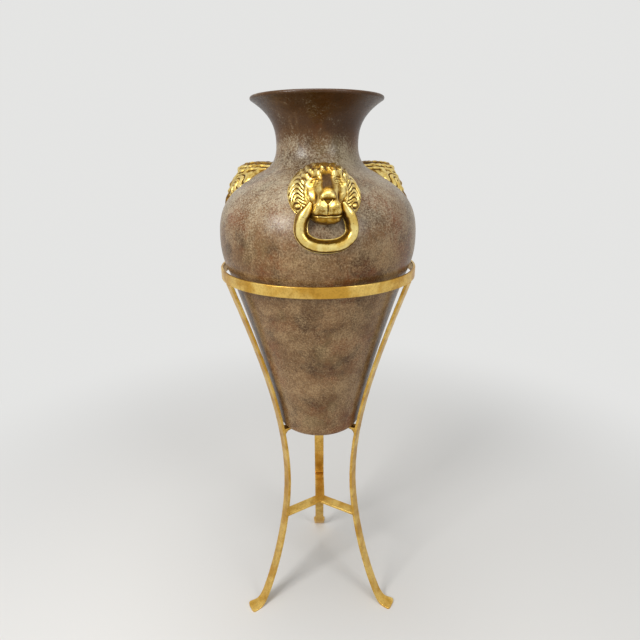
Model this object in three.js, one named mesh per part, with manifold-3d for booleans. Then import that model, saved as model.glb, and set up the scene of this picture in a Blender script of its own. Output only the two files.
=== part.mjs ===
// A tall floor vase of patinated earthenware with three gilt lion heads and their rings in relief, standing
// in a gilt wrought-iron tripod. Millimetres, +Z up, floor at Z = 0, the front lion head towards -Y.
import * as THREE from "three";
import { mergeVertices } from "three/addons/utils/BufferGeometryUtils.js";
import Module from "manifold-3d";

const wasm = await Module();
wasm.setup();

// Left between two pieces that touch
const GAP = 0.3;
// Corners closer than this are one corner
const MERGE = 1e-3;

// Vase. Each station of the outer wall has a radius, a rise above the one before it, a lean (outward travel
// per unit of height) and the reach of its curve handles below and above it. The first rises from the
// underside.
const VASE = { wall: 12, lipWall: 8, floor: 20, footEdge: 7, sides: 52 };
const FOOT = { radius: 89.3, rise: VASE.footEdge, lean: 0.07, above: 62 };
const UPPER_WALL = { radius: 186.6, rise: 360, lean: 0.41, below: 59, above: 21 };
const BELLY = { radius: 202, rise: 73, lean: 0, below: 37, above: 66 };
const SHOULDER = { radius: 119.2, rise: 124, lean: -1.75, below: 34, above: 7 };
const NECK = { radius: 80.7, rise: 54.5, lean: 0, below: 41, above: 29 };
const LIP = { radius: 126.6, rise: 78.1, lean: 1.57, below: 25 };
const OUTER_STEPS = [5, 2, 5, 3, 3];
const INNER_STEPS = [4, 2, 3, 2, 2];
const LIP_STEPS = 4;

// Stand. The hoop lies below the widest of the belly, at a clearance from the wall that it girds, and the
// waist of the legs passes a little outside the foot of the vase.
const BAR = { width: 24, thickness: 6, ease: 0.9 };
const HOOP = { clearance: 8.15, thickness: 5, height: 21, belowBelly: 58.3, sides: 48 };
const LEG_AZIMUTHS = { front_left: 210, front_right: 330, rear: 90 };
const LEG_TOP = { lean: 0.34, below: 129 };
const LEG_WAIST = { outsideFoot: 4.7, height: 366, lean: 0, below: 117, above: 175 };
const LEG_ANKLE = { radius: 165, height: 35.5, lean: -0.44, below: 22, above: 75.5 };
const LEG_STEPS = [8, 9];
const TOE = { radius: 209, width: 33, thickness: 4.5, flat: 19, round: 5, handle: 8, steps: 5 };
const BRACE = { width: 24, thickness: 6, top: 256, arms: 3 };
const LUG = { top: 494, width: 20, nose: 7, bearing: 6.9, drop: 27, hollow: 2 };
const LUG_STEPS = { back: 4, hollow: 5 };

// Lion heads, each with its azimuth on the shoulder. The middle of the face lies above the belly, and its
// front stands off the wall there by the depth. The rim has a thin edge, and the crown drops back behind
// that front.
const HEADS = { front: 273.4, rear_left: 148, rear_right: 33.5 };
const HEAD = { rise: 98.7, depth: 44.3, edge: 1, root: 8, crownSet: 38, crownRun: 64, crownDrop: 3 };
// Powers of the superellipse in a head's sections: of the distance from its middle, and of the depth
const HEAD_POWERS = {
  side: { distance: 2, depth: 2 },
  crown: { distance: 4.6, depth: 2.8 },
  chin: { distance: 8, depth: 3 },
};
// Rows of a head: those over the face and the share of the way out that they cover, then those over the
// mane, and the last share of the way over which the carving fades out
const HEAD_GRID = { faceRows: 10, faceShare: 0.67, maneRows: 8, carvingFade: 0.06 };
// Distance of the rim from the middle of the face, by the angle up from the side
const RIM = [
  { angle: -90, reach: 46.5 },
  { angle: -45, reach: 51 },
  { angle: -17, reach: 62.5 },
  { angle: 0, reach: 62.5 },
  { angle: 21, reach: 56.5 },
  { angle: 49, reach: 48.5 },
  { angle: 90, reach: 48.5 },
];
// Muzzle along its middle: height above the middle of the face, reach beyond the face and half width
const MUZZLE = [
  { up: -47, reach: 18, half: 14 },
  { up: -38, reach: 22.5, half: 24.5 },
  { up: -31, reach: 21, half: 25 },
  { up: -13, reach: 24.5, half: 24 },
  { up: 0, reach: 24.5, half: 19 },
  { up: 9, reach: 19, half: 15.5 },
  { up: 22, reach: 3.5, half: 13.5 },
  { up: 27, reach: -3.5, half: 13 },
  { up: 37, reach: 0, half: 13 },
];
const MUZZLE_SIDE = { from: 0.6, to: 1.14, root: 0.75 };
// Forms on both halves of the face: their middle across and up, their half sizes and how proud they are
const FORMS = {
  nose: { across: 0, up: -1, wide: 11, tall: 5.5, proud: 4.2 },
  nostril: { across: 9, up: -9, wide: 3, tall: 3, proud: -1.6 },
  whiskerPad: { across: 12.5, up: -18.5, wide: 8.5, tall: 8, proud: 4.4 },
  philtrum: { across: 0, up: -24, wide: 2.2, tall: 7, proud: -2.6 },
  mouth: { across: 0, up: -32, wide: 22, tall: 1.9, proud: -3.6 },
  lowerLip: { across: 0, up: -39, wide: 20, tall: 4.4, proud: 1.6 },
  cheek: { across: 26, up: 0.5, wide: 5.5, tall: 8, proud: 3.6 },
  eyeHollow: { across: 18, up: 22.5, wide: 6.5, tall: 5, proud: -4.2 },
  eye: { across: 18, up: 22, wide: 3.6, tall: 2.6, proud: 3 },
  browKnob: { across: 11.5, up: 32, wide: 4.6, tall: 4.6, proud: 4.6 },
  outerBrow: { across: 23, up: 34, wide: 4.2, tall: 4.2, proud: 3 },
  earKnob: { across: 49.5, up: -20, wide: 4.5, tall: 4.5, proud: 3.4 },
};
// Locks of the mane all round but for the chin, swept up and then down on their way out
const MANE = { locks: 26, depth: 1.7, inner: 35, fade: 6 };
const SWEEP = { up: 0.13, at: 50, run: 7.5, down: 0.2, downRun: 15 };
const CHIN = { from: 0.58, to: 0.75 };

// Ring reliefs: a stirrup hanging from the corners of the jaw, cast with the wall by a web that has some
// draft. Heights are measured down from the middle of the face.
const RING = {
  tube: 9.5,
  overWall: 4.5,
  overFace: 5,
  halfWidth: 45.2,
  drop: 32,
  middleBelow: 55,
  endHalfWidth: 27,
  endBelow: 15,
  fullness: 0.9,
  shoulder: 0.45,
  taper: 0.55,
  taperRun: 30,
  draft: 1.2,
  root: 4,
};
const RING_STEPS = { side: 7, bow: 20, along: 20, arc: 4 };

const { lerp, clamp, degToRad, radToDeg } = THREE.MathUtils;
const smooth = THREE.MathUtils.smoothstep;
const bump = (x, y, wide, tall) => Math.exp(-((x / wide) ** 2) - (y / tall) ** 2);

// Stations with their heights added up from a start
function stacked(stations, start) {
  let height = start;
  return stations.map((station) => {
    height += station.rise;
    return { ...station, height };
  });
}

// The cubic curves through a list of stations, each in the plane of radius and height
function wallCurves(stations) {
  return stations.slice(1).map((to, i) => {
    const from = stations[i];
    return new THREE.CubicBezierCurve(
      new THREE.Vector2(from.radius, from.height),
      new THREE.Vector2(from.radius + from.lean * from.above, from.height + from.above),
      new THREE.Vector2(to.radius - to.lean * to.below, to.height - to.below),
      new THREE.Vector2(to.radius, to.height),
    );
  });
}

// Points along the curves with the outward normal at each
function walk(curves, steps) {
  return curves.flatMap((curve, i) => {
    const count = steps[i];
    const first = i === 0 ? 0 : 1;
    return Array.from({ length: count + 1 - first }, (_, j) => {
      const t = (j + first) / count;
      const along = curve.getTangent(t);
      return { point: curve.getPoint(t), normal: new THREE.Vector2(along.y, -along.x) };
    });
  });
}

// Radius of a line at a height, straight between its points
function radiusAt(points, height) {
  const i = points.findIndex((p, k) => k > 0 && (p.y - height) * (points[k - 1].y - height) <= 0);
  const t = (height - points[i - 1].y) / (points[i].y - points[i - 1].y);
  return lerp(points[i - 1].x, points[i].x, t);
}

// Value of one column of a table at a place along another, straight between its rows
function between(rows, key, at, column) {
  const next = rows.findIndex((row) => row[key] > at);
  const i = next < 0 ? rows.length - 1 : Math.max(next, 1);
  const t = clamp((at - rows[i - 1][key]) / (rows[i][key] - rows[i - 1][key]), 0, 1);
  return lerp(rows[i - 1][column], rows[i][column], t);
}

function onCircle(centre, radius, turn) {
  return new THREE.Vector2(Math.cos(turn), Math.sin(turn)).multiplyScalar(radius).add(centre);
}

function solidOf(geometry) {
  const bare = geometry.clone();
  bare.deleteAttribute("normal");
  bare.deleteAttribute("uv");
  const merged = mergeVertices(bare, MERGE);
  return new wasm.Manifold(
    new wasm.Mesh({
      numProp: 3,
      vertProperties: merged.attributes.position.array,
      triVerts: new Uint32Array(merged.index.array),
    }),
  );
}

function geometryOf(solid) {
  const mesh = solid.getMesh();
  const geometry = new THREE.BufferGeometry();
  geometry.setAttribute("position", new THREE.BufferAttribute(mesh.vertProperties, 3));
  geometry.setIndex(new THREE.BufferAttribute(mesh.triVerts, 1));
  return geometry;
}

// A closed skin over a row of closed loops that all have the same number of points
function loft(loops) {
  const count = loops[0].length;
  const positions = loops.flat().flatMap((p) => [p.x, p.y, p.z]);
  const index = [];
  loops.slice(1).forEach((_, i) => {
    for (let j = 0; j < count; j++) {
      const next = (j + 1) % count;
      const a = i * count + j;
      const b = i * count + next;
      index.push(a, b, b + count, a, b + count, a + count);
    }
  });
  const last = (loops.length - 1) * count;
  for (let j = 1; j < count - 1; j++) {
    index.push(0, j + 1, j);
    index.push(last, last + j, last + j + 1);
  }
  const geometry = new THREE.BufferGeometry();
  geometry.setAttribute("position", new THREE.Float32BufferAttribute(positions, 3));
  geometry.setIndex(index);
  return geometry;
}

const VASE_BOTTOM = LUG.top + GAP;
const WALL = stacked([FOOT, UPPER_WALL, BELLY, SHOULDER, NECK, LIP], VASE_BOTTOM);
const [, , belly, , neck, lip] = WALL;
const OUTER_WALL = walk(wallCurves(WALL), OUTER_STEPS);
const OUTER_POINTS = OUTER_WALL.map(({ point }) => point);
const FACE_HEIGHT = belly.height + HEAD.rise;
const FACE_FRONT = radiusAt(OUTER_POINTS, FACE_HEIGHT) + HEAD.depth;

// How far the wall stands out in the plane of a head, at a place across it and a height
function wallFront(across, height) {
  return Math.sqrt(radiusAt(OUTER_POINTS, height) ** 2 - across ** 2);
}

// Thrown hollow body: foot with a rounded edge, outer wall, rolled lip, inner wall, inner floor
function vaseBody() {
  const floorHeight = VASE_BOTTOM + VASE.floor;
  const edge = new THREE.Vector2(FOOT.radius - VASE.footEdge, VASE_BOTTOM + VASE.footEdge);
  const foot = [-Math.PI / 2, -Math.PI / 4].map((turn) => onCircle(edge, VASE.footEdge, turn));
  const thickness = (height) => lerp(VASE.wall, VASE.lipWall, smooth(height, neck.height, lip.height));
  const inner = walk(wallCurves(WALL), INNER_STEPS)
    .map(({ point, normal }) => point.addScaledVector(normal, -thickness(point.y)))
    .filter((p) => p.y > floorHeight + VASE.footEdge);
  const rim = OUTER_WALL.at(-1);
  const roll = VASE.lipWall / 2;
  const rollCentre = rim.point.clone().addScaledVector(rim.normal, -roll);
  const start = rim.normal.angle();
  const over = [1, 2, 3].map((i) => onCircle(rollCentre, roll, start + (i / LIP_STEPS) * Math.PI));
  const points = [
    new THREE.Vector2(0, VASE_BOTTOM),
    ...foot,
    ...OUTER_POINTS,
    ...over,
    ...inner.reverse(),
    new THREE.Vector2(FOOT.radius - VASE.wall - VASE.footEdge, floorHeight),
    new THREE.Vector2(0, floorHeight),
  ];
  return new THREE.LatheGeometry(points, VASE.sides).rotateX(Math.PI / 2);
}

// The vase filled solid and grown by the gap, which shapes the back of each relief
function reliefSeat() {
  const grown = OUTER_WALL.map(({ point, normal }) => point.clone().addScaledVector(normal, GAP));
  const points = [new THREE.Vector2(0, grown[0].y), ...grown, new THREE.Vector2(0, grown.at(-1).y)];
  return solidOf(new THREE.LatheGeometry(points, VASE.sides).rotateX(Math.PI / 2));
}

// The hoop clears the widest wall that lies at or below its top, so that the vase lifts out
const HOOP_TOP = belly.height - HOOP.belowBelly;
const HOOP_BOTTOM = HOOP_TOP - HOOP.height;
const girded = OUTER_POINTS.filter((p) => p.y < HOOP_TOP).map((p) => p.x);
const HOOP_INNER = Math.max(radiusAt(OUTER_POINTS, HOOP_TOP), ...girded) + HOOP.clearance;
const HOOP_OUTER = HOOP_INNER + HOOP.thickness;

// Flat-bar hoop with eased edges
function hoop() {
  const section = [
    [HOOP_INNER, HOOP_BOTTOM + BAR.ease],
    [HOOP_INNER + BAR.ease, HOOP_BOTTOM],
    [HOOP_OUTER - BAR.ease, HOOP_BOTTOM],
    [HOOP_OUTER, HOOP_BOTTOM + BAR.ease],
    [HOOP_OUTER, HOOP_TOP - BAR.ease],
    [HOOP_OUTER - BAR.ease, HOOP_TOP],
    [HOOP_INNER + BAR.ease, HOOP_TOP],
    [HOOP_INNER, HOOP_TOP - BAR.ease],
    [HOOP_INNER, HOOP_BOTTOM + BAR.ease],
  ].map(([x, y]) => new THREE.Vector2(x, y));
  return new THREE.LatheGeometry(section, HOOP.sides).rotateX(Math.PI / 2);
}

// Outer face of a leg from its butt under the hoop to the end of the toe, as points with normals
function legLine() {
  const butt = { ...LEG_TOP, radius: HOOP_OUTER, height: HOOP_BOTTOM - GAP };
  const waist = { ...LEG_WAIST, radius: FOOT.radius + LEG_WAIST.outsideFoot };
  const upper = walk(wallCurves([LEG_ANKLE, waist, butt]), LEG_STEPS).reverse();
  const flatStart = TOE.radius - TOE.flat;
  const toe = new THREE.CubicBezierCurve(
    new THREE.Vector2(LEG_ANKLE.radius, LEG_ANKLE.height),
    new THREE.Vector2(
      LEG_ANKLE.radius - LEG_ANKLE.lean * LEG_ANKLE.below,
      LEG_ANKLE.height - LEG_ANKLE.below,
    ),
    new THREE.Vector2(flatStart - TOE.handle, TOE.thickness),
    new THREE.Vector2(flatStart, TOE.thickness),
  );
  const bend = walk([toe], [TOE.steps]).map(({ point, normal }) => ({ point, normal: normal.negate() }));
  const flat = [TOE.radius - TOE.round, TOE.radius].map((x) => ({
    point: new THREE.Vector2(x, TOE.thickness),
    normal: new THREE.Vector2(0, 1),
  }));
  return [...upper, ...bend.slice(1), ...flat];
}
const LEG_LINE = legLine();
const LEG_INNER = LEG_LINE.map(({ point, normal }) =>
  point.clone().addScaledVector(normal, -BAR.thickness),
);

// S-curved flat bar; its foot is flattened, flared and stands flat on the floor
function leg() {
  const loops = LEG_LINE.map(({ point, normal }, i) => {
    const isEnd = i === LEG_LINE.length - 1;
    const inFoot = point.y < LEG_ANKLE.height;
    const flare = inFoot ? smooth(point.x, LEG_ANKLE.radius, TOE.radius - TOE.round) : 0;
    const half = lerp(BAR.width, TOE.width, flare) / 2 - (isEnd ? TOE.round : 0);
    const corner = (depth, side) => {
      const p = point.clone().addScaledVector(normal, -depth);
      if (i === 0) p.x += ((point.y - p.y) * normal.y) / -normal.x;
      return new THREE.Vector3(p.x, side, i === 0 ? point.y : Math.max(p.y, 0));
    };
    const ease = BAR.ease;
    const deep = BAR.thickness;
    return [
      corner(ease, -half),
      corner(0, -half + ease),
      corner(0, half - ease),
      corner(ease, half),
      corner(deep - ease, half),
      corner(deep, half - ease),
      corner(deep, -half + ease),
      corner(deep - ease, -half),
    ];
  });
  return loft(loops.reverse());
}

// One arm of the flat brace, mitred to its two neighbours on the axis and butted to its leg
function braceArm() {
  const half = BRACE.width / 2;
  const halfTurn = Math.PI / BRACE.arms;
  const mitre = half / Math.tan(halfTurn);
  const gap = GAP / 2 / Math.sin(halfTurn);
  const bottom = BRACE.top - BRACE.thickness;
  const end = Math.min(radiusAt(LEG_INNER, BRACE.top), radiusAt(LEG_INNER, bottom)) - GAP;
  const outline = new THREE.Shape([
    new THREE.Vector2(gap, 0),
    new THREE.Vector2(mitre + gap, -half),
    new THREE.Vector2(end, -half),
    new THREE.Vector2(end, half),
    new THREE.Vector2(mitre + gap, half),
  ]);
  const options = { depth: BRACE.thickness, bevelEnabled: false };
  return new THREE.ExtrudeGeometry(outline, options).translate(0, 0, bottom);
}

// Lug that carries the foot of the vase: flat top, short nose, and a hollow curve down to the leg
function restLug() {
  const back = Array.from({ length: LUG_STEPS.back + 1 }, (_, i) => {
    const height = LUG.top - LUG.drop * (1 - i / LUG_STEPS.back);
    return new THREE.Vector2(radiusAt(LEG_INNER, height) - GAP, height);
  });
  const nose = FOOT.radius - VASE.footEdge - LUG.bearing;
  const underNose = LUG.top - LUG.nose;
  const outline = new THREE.Shape();
  outline.moveTo(nose, LUG.top);
  outline.lineTo(nose, underNose);
  outline.quadraticCurveTo(back[0].x - LUG.hollow, underNose, back[0].x, back[0].y);
  back.slice(1).forEach((p) => outline.lineTo(p.x, p.y));
  const options = { depth: LUG.width, bevelEnabled: false, curveSegments: LUG_STEPS.hollow };
  return new THREE.ExtrudeGeometry(outline, options)
    .rotateX(Math.PI / 2)
    .translate(0, LUG.width / 2, 0);
}

// Rows of a head from the middle of the face to the rim, as shares of the rim's distance: even over the
// face, then ever closer together, by the square of what is left, as the skin turns down to the wall
function headRows() {
  const { faceRows, faceShare, maneRows } = HEAD_GRID;
  const face = Array.from({ length: faceRows }, (_, i) => (faceShare * (i + 1)) / faceRows);
  const mane = Array.from({ length: maneRows }, (_, i) => {
    const left = 1 - (i + 1) / maneRows;
    return 1 - (1 - faceShare) * left * left;
  });
  return [...face, ...mane];
}

// A power of the superellipse in the half plane at some turn: that of the sides, the crown and the chin
// mixed
function headPower(kind, turn) {
  const { side, crown, chin } = HEAD_POWERS;
  const high = Math.max(Math.sin(turn), 0) ** 2;
  const low = Math.max(-Math.sin(turn), 0) ** 2;
  return side[kind] + (crown[kind] - side[kind]) * high + (chin[kind] - side[kind]) * low;
}

// How far the muzzle stands out of the face at a place across it and up it
function muzzle(across, up) {
  const half = between(MUZZLE, "up", up, "half");
  const side = smooth(Math.abs(across), MUZZLE_SIDE.from * half, MUZZLE_SIDE.to * half);
  return between(MUZZLE, "up", up, "reach") * (1 - side);
}

// A point of a head before carving, in the plane of its azimuth. Each half plane through the middle of the
// face holds a quarter of a superellipse, from the face's front to the rim on the wall. It is squarer
// towards the crown and the chin, where the muzzle ends in it.
function headPoint(share, column) {
  const straight = (column / MANE.locks) * Math.PI;
  const distance = share * between(RIM, "angle", radToDeg(Math.asin(Math.sin(straight))), "reach");
  const swept = SWEEP.up * bump(distance - SWEEP.at, 0, SWEEP.run, 1);
  const fallen = SWEEP.down * smooth(distance, SWEEP.at, SWEEP.at + SWEEP.downRun);
  const turn = straight + (swept - fallen) * Math.cos(straight);
  const reach = between(RIM, "angle", radToDeg(Math.asin(Math.sin(turn))), "reach");
  const rim = new THREE.Vector2(Math.cos(turn), Math.sin(turn)).multiplyScalar(reach);
  const seat = wallFront(rim.x, FACE_HEIGHT + rim.y);
  const depth = (1 - share ** headPower("distance", turn)) ** (1 / headPower("depth", turn));
  const out = lerp(seat + HEAD.edge, FACE_FRONT, depth);
  const across = rim.x * share;
  const dropped = clamp((FACE_FRONT - HEAD.crownSet - out) / HEAD.crownRun, 0, 1) ** 2;
  const up = rim.y * share - HEAD.crownDrop * Math.max(Math.sin(turn), 0) ** 2 * dropped;
  return new THREE.Vector3(out + muzzle(across, up) * smooth(depth, 0, MUZZLE_SIDE.root), across, up);
}

// Height of the carving at a point of a head: the forms of the face, and locks on every second column
function carving(point, column) {
  const side = Math.abs(point.y);
  const distance = Math.hypot(point.y, point.z);
  const below = smooth(-point.z / distance, CHIN.from, CHIN.to);
  const inMane = smooth(distance, MANE.inner, MANE.inner + MANE.fade) * (1 - below);
  const forms = Object.values(FORMS).map(
    ({ across, up, wide, tall, proud }) => proud * bump(side - across, point.z - up, wide, tall),
  );
  const lock = column % 2 === 0 ? MANE.depth : -MANE.depth;
  return forms.reduce((sum, height) => sum + height, lock * inMane);
}

// One lion head as a closed skin, grown outwards by some clearance. It is rooted in the wall.
function lionHead(grow) {
  const shares = headRows();
  const columns = 2 * MANE.locks;
  const base = shares.map((share) => Array.from({ length: columns }, (_, j) => headPoint(share, j)));
  const loops = base.map((row, i) =>
    row.map((point, j) => {
      const outwards = new THREE.Vector3().subVectors(
        (base[i + 1] ?? row)[j],
        (base[i - 1] ?? row)[j],
      );
      const onwards = new THREE.Vector3().subVectors(row[(j + 1) % columns], row.at(j - 1));
      const normal = outwards.cross(onwards).normalize();
      const push = carving(point, j) * smooth(1 - shares[i], 0, HEAD_GRID.carvingFade) + grow;
      return point.clone().addScaledVector(normal, push);
    }),
  );
  const rooted = loops.at(-1).map((p) => p.clone().setX(p.x - HEAD.edge - HEAD.root));
  const raised = [...loops, rooted].map((loop) => loop.map((p) => p.setZ(p.z + FACE_HEIGHT)));
  return loft(raised.reverse());
}

// Middle line of a ring in the plane of its head
function ringLine() {
  const middle = FACE_HEIGHT - RING.middleBelow;
  const end = FACE_HEIGHT - RING.endBelow;
  const lowRadius = radiusAt(OUTER_POINTS, middle - RING.drop) + RING.overWall;
  const side = new THREE.QuadraticBezierCurve(
    new THREE.Vector2(RING.endHalfWidth, end),
    new THREE.Vector2(RING.halfWidth, lerp(middle, end, RING.shoulder)),
    new THREE.Vector2(RING.halfWidth, middle),
  ).getPoints(RING_STEPS.side);
  const bow = Array.from({ length: RING_STEPS.bow + 1 }, (_, i) => {
    const turn = (i / RING_STEPS.bow) * Math.PI;
    const across = RING.halfWidth * Math.cos(turn);
    return new THREE.Vector2(across, middle - RING.drop * Math.sin(turn) ** RING.fullness);
  });
  const right = side.slice(0, -1);
  const left = right.map((p) => new THREE.Vector2(-p.x, p.y)).reverse();
  const points = [...right, ...bow, ...left].map(({ x, y }) => {
    const radius = lerp(lowRadius, FACE_FRONT + RING.overFace, smooth(y, middle, end));
    const turn = x / radius;
    return new THREE.Vector3(radius * Math.cos(turn), radius * Math.sin(turn), y);
  });
  return new THREE.CatmullRomCurve3(points);
}

// One section of a ring: the outer half of a round bar, and the two lower corners of its web inside the
// wall
function ringSection(line, t) {
  const centre = line.getPointAt(t);
  const along = line.getTangentAt(t);
  const out = new THREE.Vector3(centre.x, centre.y, 0).normalize();
  const across = new THREE.Vector3().crossVectors(along, out).normalize();
  const face = new THREE.Vector3().crossVectors(across, along);
  const fromEnd = Math.min(t, 1 - t) * line.getLength();
  const tube = RING.tube * lerp(RING.taper, 1, smooth(fromEnd, 0, RING.taperRun));
  const bar = Array.from({ length: RING_STEPS.arc + 1 }, (_, j) => {
    const turn = (j / RING_STEPS.arc - 0.5) * Math.PI;
    return centre
      .clone()
      .addScaledVector(face, tube * Math.cos(turn))
      .addScaledVector(across, tube * Math.sin(turn));
  });
  const web = [1, -1].map((hand) => {
    const foot = centre.clone().addScaledVector(across, hand * (tube + RING.draft));
    return foot.setX(wallFront(foot.y, foot.z) - RING.root);
  });
  return [...bar, ...web];
}

// A ring with the seat of the wall and of the head cut out of it
function ring(seat, headSeat) {
  const line = ringLine();
  const { along } = RING_STEPS;
  const loops = Array.from({ length: along + 1 }, (_, i) => ringSection(line, i / along));
  const cut = solidOf(loft(loops)).subtract(seat).subtract(headSeat);
  return cut.decompose().sort((a, b) => b.volume() - a.volume())[0];
}

const clay = new THREE.MeshStandardMaterial({ color: 0x7a6752, roughness: 0.45, metalness: 0.0 });
const leaf = new THREE.MeshStandardMaterial({ color: 0xcda043, roughness: 0.35, metalness: 0.8 });
const gilt = new THREE.MeshStandardMaterial({ color: 0xb58a3c, roughness: 0.4, metalness: 0.7 });

function piece(name, geometry, material) {
  const mesh = new THREE.Mesh(geometry, material.clone());
  mesh.name = name;
  return mesh;
}

function turned(name, azimuth, geometry, material) {
  const mesh = piece(name, geometry, material);
  mesh.rotation.z = degToRad(azimuth);
  return mesh;
}

const vase = new THREE.Group();
vase.add(piece("vase_body", vaseBody(), clay));
const seat = reliefSeat();
const uncutHead = solidOf(lionHead(0));
const headSeat = solidOf(lionHead(2 * GAP)).add(uncutHead);
for (const [place, azimuth] of Object.entries(HEADS)) {
  const placed = seat.rotate([0, 0, -azimuth]);
  vase.add(turned("lion_mask_" + place, azimuth, geometryOf(uncutHead.subtract(placed)), leaf));
  vase.add(turned("ring_" + place, azimuth, geometryOf(ring(placed, headSeat)), leaf));
}

const stand = new THREE.Group();
stand.add(piece("hoop", hoop(), gilt));
for (const [place, azimuth] of Object.entries(LEG_AZIMUTHS)) {
  stand.add(turned("leg_" + place, azimuth, leg(), gilt));
  stand.add(turned("brace_" + place, azimuth, braceArm(), gilt));
  stand.add(turned("rest_lug_" + place, azimuth, restLug(), gilt));
}

// The front head reaches further from the axis than the rear toe does, so the axis stands a little behind
// the origin, which is the middle of the object's box on the floor
const whole = new THREE.Group();
whole.add(vase, stand);
const middle = new THREE.Box3().setFromObject(whole, true).getCenter(new THREE.Vector3());
whole.position.set(-middle.x, -middle.y, 0);

export default whole;
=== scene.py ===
import bpy
import numpy as np
from mathutils import Matrix, Vector

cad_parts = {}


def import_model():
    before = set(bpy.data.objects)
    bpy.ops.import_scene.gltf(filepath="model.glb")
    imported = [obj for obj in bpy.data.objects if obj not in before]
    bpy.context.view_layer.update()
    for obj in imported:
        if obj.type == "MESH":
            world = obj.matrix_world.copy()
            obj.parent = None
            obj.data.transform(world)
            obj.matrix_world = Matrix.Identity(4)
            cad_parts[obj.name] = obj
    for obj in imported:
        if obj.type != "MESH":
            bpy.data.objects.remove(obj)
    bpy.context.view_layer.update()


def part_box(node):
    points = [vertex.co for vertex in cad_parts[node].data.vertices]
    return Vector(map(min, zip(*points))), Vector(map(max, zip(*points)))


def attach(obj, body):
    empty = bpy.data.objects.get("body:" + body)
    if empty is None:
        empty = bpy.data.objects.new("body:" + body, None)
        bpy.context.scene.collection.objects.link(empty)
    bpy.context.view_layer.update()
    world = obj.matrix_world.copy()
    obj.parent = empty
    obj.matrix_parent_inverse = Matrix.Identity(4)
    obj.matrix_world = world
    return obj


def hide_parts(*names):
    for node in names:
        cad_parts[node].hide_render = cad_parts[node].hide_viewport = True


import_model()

# Shapes are worked out in millimetres, with the vessel's axis at the origin, and put into meshes in metres
MM = 0.001
hoop_low, hoop_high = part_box("hoop")
AXIS = np.array([(hoop_low.x + hoop_high.x) / 2, (hoop_low.y + hoop_high.y) / 2, 0.0])
HOOP_RADIUS = (hoop_high.x - hoop_low.x) / 2 / MM
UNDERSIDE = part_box("vase_body")[0].z / MM
QUARTER_TURN = np.pi / 2
FULL_TURN = 2 * np.pi
TINY = 1e-9

# Vase: radius, height above the solid's underside, lean outwards, reach of the curve below and above
WALL_STATIONS = [
    (94.5, 18, 0.13, 0, 85),
    (186.6, 367, 0.37, 35, 21),
    (202, 440, 0, 37, 66),
    (119.2, 564, -1.75, 34, 7),
    (80.7, 618.5, 0, 41, 29),
    (126.6, 696.6, 1.57, 25, 0),
]
NECK_HEIGHT = WALL_STATIONS[4][1]
LIP_HEIGHT = WALL_STATIONS[5][1]
WALL_THICKNESS = 12
LIP_THICKNESS = 7.4
FOOT_RISE = 4
FOOT_EDGE = 14
INNER_FLOOR = 20
INNER_EDGE = 7
# Points along the outer wall, a flat disc, the foot's edge, the rolled lip and the inner corner
WALL_STEPS = 220
DISC_STEPS = 10
EDGE_STEPS = 9
LIP_STEPS = 15
CORNER_STEPS = 6
# Radius at which a disc starts, and how far short of its edge it stops
DISC_MIDDLE = 2
DISC_INSET = 3
# Sway of the thrown wall: how far, waves round, height over which a wave moves by a radian, and its start
SWAYS = [(0.25, 2, 170, 0), (0.18, 3, -110, 1.3)]
# It sets in between two radii, and over a height above the underside
SWAY_RADII = (20, 60)
SWAY_RISE = 30

# Lion heads: azimuth of each, then the front of the face from the axis and the height of its middle
HEADS = {"front": 273.4, "rear_left": 148, "rear_right": 33.5}
FACE_FRONT = 203
FACE_HEIGHT = UNDERSIDE + 538.7
# Distance of a head's rim from the middle of its face, by the angle up from the side
RIM_ANGLES = [-90, -75, -60, -51, -43, -34, -17, 0, 21, 49, 90]
RIM_DISTANCES = [49.5, 49, 47.5, 47, 52, 59.5, 62.5, 62.5, 56.5, 49, 48.5]
RIM_ROUNDS = 40
# How far the crown drops on its way back to the wall, and between which reaches from the axis
CROWN_DROP = 3
CROWN_START = 165
CROWN_RUN = 64
# Powers of a head's superellipse, across and in depth: at the sides, and what the crown and the chin add
HEAD_POWERS = [(2, 2.6, 6), (2, 0.8, 1)]
# Thin flange of leaf round a head: how far beyond the rim and how proud of the wall
FLANGE = [(0.3, 0.7), (1.0, 0.6), (1.5, 0.35), (1.6, -0.3), (0.8, -3.0)]
FLANGE_LIFT = 0.4

# Stand
BAR_WIDTH = 24
BAR_THICKNESS = 6
HOOP_HALF_HEIGHT = 10.5
HOOP_HALF_DEPTH = 2.5
LEG_AZIMUTHS = {"front_left": 210, "front_right": 330, "rear": 90}


def smooth(x, low, high):
    """Rises from 0 at low to 1 at high as a cubic step."""
    t = np.clip((x - low) / (high - low), 0, 1)
    return t * t * (3 - 2 * t)


def bump(x, y, half_x, half_y):
    """A round bump of height 1, e times lower at half_x or half_y from its middle."""
    return np.exp(-((x / half_x) ** 2) - (y / half_y) ** 2)


def welt(x, half):
    """A long rounded welt of height 1, e times lower at half from its crest."""
    return np.exp(-((x / half) ** 2))


def unit(vectors):
    """Vectors scaled to a length of 1."""
    return vectors / np.maximum(np.linalg.norm(vectors, axis=-1, keepdims=True), TINY)


def bezier(control, share):
    """Points of a cubic curve at shares of its run: the weights of its four control points are the
    Bernstein polynomials of the share."""
    t = share[:, None]
    weights = np.hstack([(1 - t) ** 3, 3 * t * (1 - t) ** 2, 3 * t**2 * (1 - t), t**3])
    return weights @ np.array(control)


def chain(stations, steps):
    """Cubic curves through stations of radius, height, lean and reaches of the curve below and above.
    Returns radius and height, one row a point."""
    parts = []
    for (r0, z0, lean0, _, above), (r1, z1, lean1, below, _) in zip(stations, stations[1:]):
        leaving = (r0 + lean0 * above, z0 + above)
        arriving = (r1 - lean1 * below, z1 - below)
        part = bezier([(r0, z0), leaving, arriving, (r1, z1)], np.linspace(0, 1, steps))
        parts.append(part[1:] if parts else part)
    return np.vstack(parts)


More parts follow.
